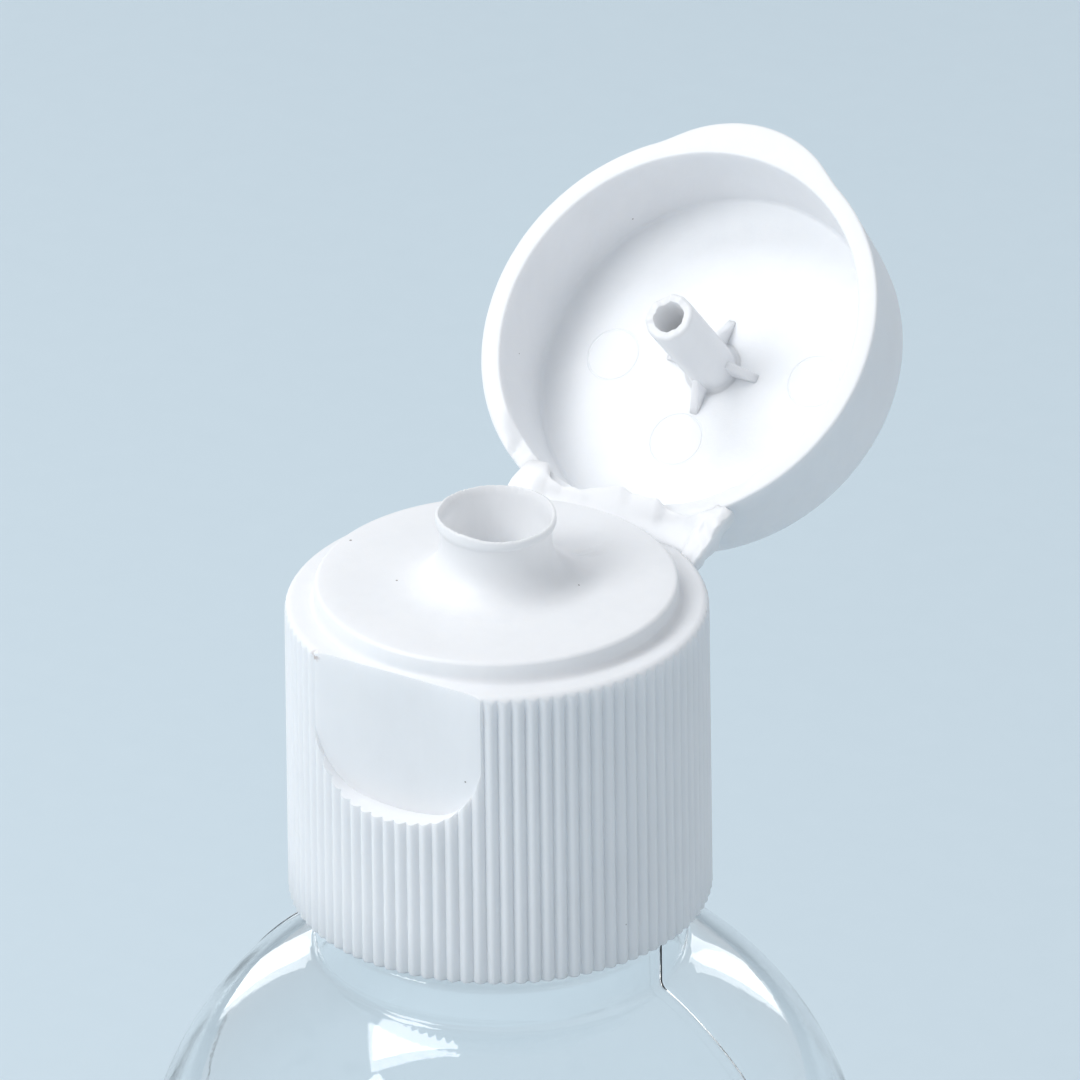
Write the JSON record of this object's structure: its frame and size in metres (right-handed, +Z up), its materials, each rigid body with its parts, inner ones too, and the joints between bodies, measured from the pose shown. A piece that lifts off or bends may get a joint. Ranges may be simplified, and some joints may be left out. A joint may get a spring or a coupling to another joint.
{
  "type": "flip-top squeeze bottle",
  "caption": "Small clear round-shouldered squeeze bottle with a ribbed screw-on flip-top closure, lid standing open over a flared nozzle.",
  "frame": {"origin": "centre of the bottle's base, on the plane that it stands on", "axes": "+Z up along the bottle and closure, +Y towards the lid hinge, -Y towards the thumb recess"},
  "size_m": [0.048, 0.0609, 0.128],
  "materials": {
    "clear_bottle": "clear blown polyester, glossy",
    "white_closure": "white moulded polypropylene, soft sheen",
    "hinge_film": "thin white polypropylene, slightly stress-whitened",
    "liner_foam": "white polyethylene foam"
  },
  "bodies": {
    "bottle": {"bottle": "clear_bottle"},
    "liner": {"sealing_liner": "liner_foam"},
    "closure": {"cap_skirt": "white_closure", "seal_ring": "white_closure", "top_disc": "white_closure", "nozzle": "white_closure", "hinge_web": "hinge_film", "hinge_ear_left": "hinge_film", "hinge_ear_right": "hinge_film"},
    "lid": {"lid_shell": "white_closure", "sealing_pin": "white_closure"}
  },
  "joints": [
    {"name": "cap_lift", "type": "slide", "parent": "bottle", "child": "liner", "axis": [0, 0, 1], "range_m": [0, 0.00636]},
    {"name": "cap_turn", "type": "hinge", "parent": "liner", "child": "closure", "pos_m": [0, 0, 0.0876], "axis": [0, 0, 1], "range_deg": [0, 720]},
    {"name": "lid_hinge", "type": "hinge", "parent": "closure", "child": "lid", "pos_m": [0, 0.0131, 0.10885], "axis": [-1, 0, 0], "range_deg": [-137.5, 12.5], "deforming": ["hinge_web", "hinge_ear_left", "hinge_ear_right"]}
  ],
  "couplings": [
    {"joint": "cap_lift", "follows": "cap_turn", "m_per_rad": 0.00050532}
  ]
}
